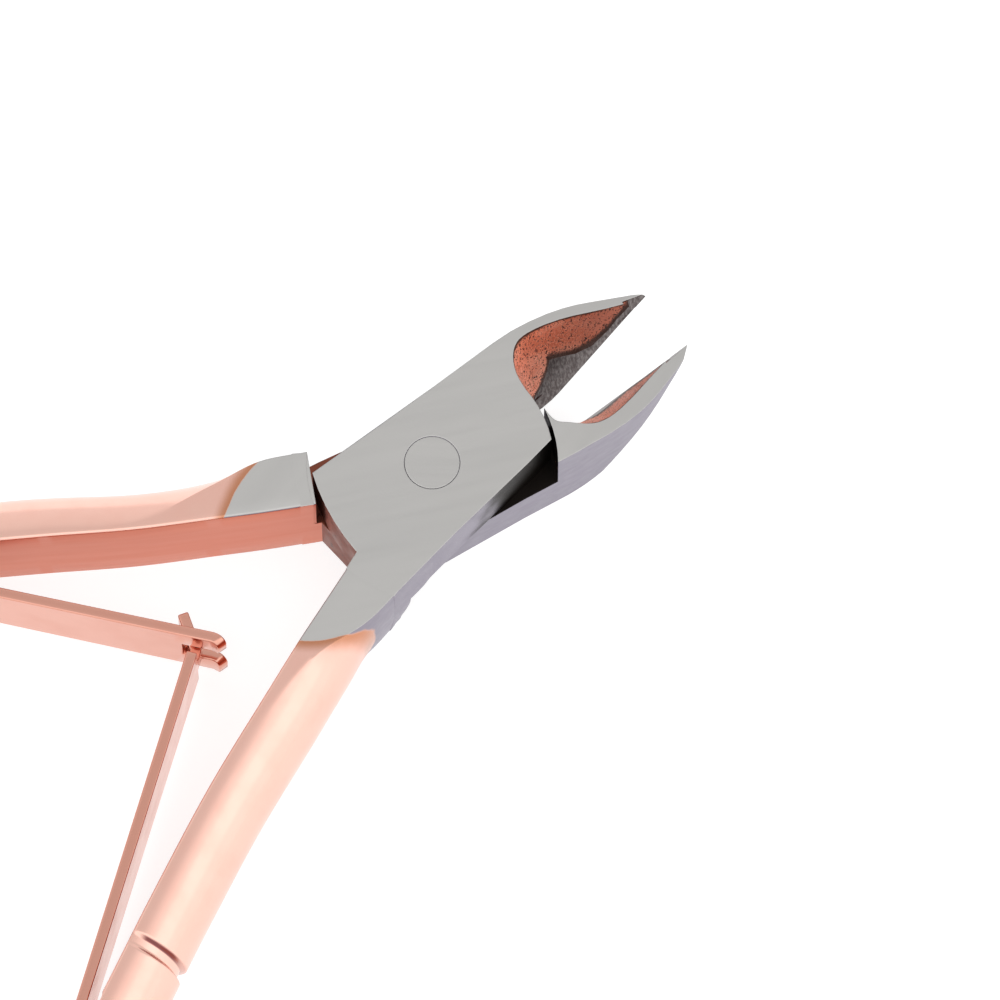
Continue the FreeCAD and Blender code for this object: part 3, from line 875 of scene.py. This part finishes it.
def makeShadedPlateEdge():
    # the upper plate's side: ground steel that turns black towards the jaws as painted shade beside the lap,
    # and speckled there
    material, shader, tree = newMaterial("shadedPlateEdge")
    pits = useGroup(tree, pitsAndSpecks, {"Scale": 9000.0, "Share": 0.36})
    along = coordinate(tree, 0)
    place = calc(tree, "ADD", along, about(tree, pits["Clouds"], lap["shadeWander"] * mm))
    dark = ramp(tree, place, *(x * mm for x in lap["shadeRun"]))
    tone = mixColour(tree, dark, finish["groundSideShade"], finish["sootAndPaintedShade"])
    bright = calc(tree, "MULTIPLY", pits["Pits"], ramp(tree, along, *(x * mm for x in lap["speckleRun"])))
    tree.links.new(mixColour(tree, bright, tone, finish["groundTop"]), shader["Base Color"])
    tree.links.new(ramp(tree, pits["Clouds"], 0.3, 0.7, 0.4, 0.5), shader["Roughness"])
    tree.links.new(bump(tree, pits["Pits"], 0.01), shader["Normal"])
    return material


leverFinish = {
    "front": {"side": -1, "centre": (-7.94, -0.01, 0), "radius": 5.73, "sideLimit": -7.6, "angle": 20},
    "back": {"side": 1, "centre": (-6.28, -1.72, 0), "radius": 7.2, "sideLimit": -7.6, "angle": -20},
    "rivet": {"side": 0, "centre": (0, 0, 0), "radius": 50, "sideLimit": -50, "angle": 35},
}
zones = {  # where each finish lies on a lever that is closed
    "hollowFrom": 6.35,
    "hollowDown": -1.8,
    "bevelWay": (-0.2551, -1, 0.3839),
    "bevelFlat": 0.999,
    "bevelUp": 1.3,
    "hollowLean": (0.1, 0.965),
    "lap": (2.9, 3.3),
    "shoulderRadius": 6.86,
    "shoulderBack": -5,
    "innerFrom": -6.3,
    "plateShadeRun": (-6.0, 6.8),
    "plateSide": -3,
}


def zoneOf(centre, normal):
    # which finish a face of a lever has, from its place and direction with the lever closed
    x, y, z = centre
    leanFrom, leanTo = zones["hollowLean"]
    if x > zones["hollowFrom"] and y > zones["hollowDown"]:
        bevelWay = Vector(zones["bevelWay"]).normalized()
        onBevel = normal.dot(bevelWay) > zones["bevelFlat"] and y < zones["bevelUp"]
        if onBevel or (leanFrom < normal.z < leanTo and normal.y < 0.3):
            return "hollow"
    onLap = abs(normal.z) > 0.9 and zones["lap"][0] < z < zones["lap"][1]
    reach = math.hypot(x, y)
    outward = (normal.x * x + normal.y * y) / max(reach, 0.001)
    if onLap or (abs(reach - zones["shoulderRadius"]) < 0.2 and outward < -0.8 and abs(normal.z) < 0.3):
        return "lap"
    if 6.0 < reach < 7.0 and outward > 0.8 and x < zones["shoulderBack"] and abs(normal.z) < 0.5:
        return "lap"
    # the plate's side beside the lap takes painted shade
    if zones["plateShadeRun"][0] < x < zones["plateShadeRun"][1] and y < zones["plateSide"] and abs(normal.z) < 0.5:
        return "shadedPlateEdge"
    if x < zones["innerFrom"] and normal.y > 0.8:
        return "shadedInnerFace"
    return "metal"


def dressLever(piece, lever, own, jawInner):
    coats = {"metal": own, "hollow": jawInner, "shadedInnerFace": shadedInnerFace, "lap": lapFaces,
             "shadedPlateEdge": shadedPlateEdge}
    order = list(coats)
    for zone in order:
        piece.data.materials.append(coats[zone])
    side = lever["side"]
    back = Matrix.Rotation(math.radians(side * nipper["halfOpen"]), 3, "Z")
    for face in piece.data.polygons:
        centre, normal = back @ face.center / mm, back @ face.normal
        centre.y, normal.y = -side * centre.y, -side * normal.y
        face.material_index = order.index(zoneOf(centre, normal))


platingLimit, grindingGrain, pitsAndSpecks = makePlatingLimit(), makeGrain(), makePits()
jawInside = makeJawInside()
roseGold, shadedInnerFace = makeShadedSpringPlating(), makeShadedInnerFace()
lapFaces, shadedPlateEdge = makeLapMaterial(), makeShadedPlateEdge()
frontMetal = makeLeverMaterial("frontLeverMetal", **leverFinish["front"])
backMetal = makeLeverMaterial("backLeverMetal", **leverFinish["back"])
dressLever(frontPiece, frontLever, frontMetal, makeHollowMaterial("frontJawInside", -1))
dressLever(backPiece, backLever, backMetal, makeHollowMaterial("backJawInside", 1))
pivotRivet.data.materials.append(makeLeverMaterial("rivetMetal", **leverFinish["rivet"]))
for piece in (forkPiece, tonguePiece, forkRivet, tongueRivet):
    piece.data.materials.append(roseGold)
print("materials", len(bpy.data.materials))


def makeFloor():
    deselectAll()
    bpy.ops.mesh.primitive_plane_add(size=studio["floorSize"], location=(0, 0, 0))
    floor = bpy.context.object
    floor.name = "paleFloor"
    material, shader, tree = newMaterial("paleFloor")
    tone = studio["floorTone"]
    shader["Base Color"].default_value = (tone, tone, tone, 1)
    shader["Roughness"].default_value = 0.9
    shader["Metallic"].default_value = 0
    shader["Emission Color"].default_value = (1, 1, 1, 1)
    shader["Emission Strength"].default_value = studio["floorGlow"]
    floor.data.materials.append(material)


def makeSky():
    # bright on the near side, dimmer above and on the far side
    world = bpy.data.worlds.new("studioSky")
    world.use_nodes = True
    tree = world.node_tree
    way = add(tree, "TexCoord").outputs["Generated"]
    towards = add(tree, "VectorMath", {0: way, 1: studio["skyWay"]}, operation="DOT_PRODUCT").outputs["Value"]
    shade = add(tree, "ValToRGB", {0: ramp(tree, towards, -1, 1, straight=True)})
    marks = shade.color_ramp.elements
    while len(marks) < len(studio["skySteps"]):
        marks.new(0.5)
    for mark, (place, share) in zip(marks, studio["skySteps"]):
        mark.position = place
        mark.color = (share, share, share, 1)
    tree.links.new(shade.outputs[0], tree.nodes["Background"].inputs["Color"])
    tree.nodes["Background"].inputs["Strength"].default_value = studio["skyGlow"]
    bpy.context.scene.world = world


def makeLamp(name, place, size, power):
    lamp = bpy.data.lights.new(name, "AREA")
    lamp.shape = "RECTANGLE"
    lamp.size, lamp.size_y = size
    lamp.energy = power
    holder = bpy.data.objects.new(name, lamp)
    holder.location = Vector(place)
    holder.rotation_mode = "QUATERNION"
    holder.rotation_quaternion = (-Vector(place)).to_track_quat("-Z", "Y")
    holder.visible_camera = False
    bpy.context.collection.objects.link(holder)


def makeCamera():
    data = bpy.data.cameras.new("longLens")
    data.sensor_width = camera["sensor"]
    data.lens = camera["sensor"] * camera["distance"] / camera["width"]
    data.clip_start, data.clip_end = 0.05, 20
    holder = bpy.data.objects.new("longLens", data)
    turn, rise = math.radians(camera["azimuth"]), math.radians(camera["elevation"])
    back = Vector((math.sin(turn) * math.cos(rise), -math.cos(turn) * math.cos(rise), math.sin(rise)))
    holder.location = (Vector(camera["target"]) + back * camera["distance"]) * mm
    holder.rotation_mode = "QUATERNION"
    holder.rotation_quaternion = (-back).to_track_quat("-Z", "Y")
    bpy.context.collection.objects.link(holder)
    bpy.context.scene.camera = holder


makeFloor()
makeSky()
makeLamp("keyPanel", studio["keyPlace"], studio["keySize"], studio["keyPower"])
makeLamp("fillPanel", studio["fillPlace"], studio["fillSize"], studio["fillPower"])
makeCamera()
bpy.context.scene.view_settings.view_transform = "Standard"
print("studio")
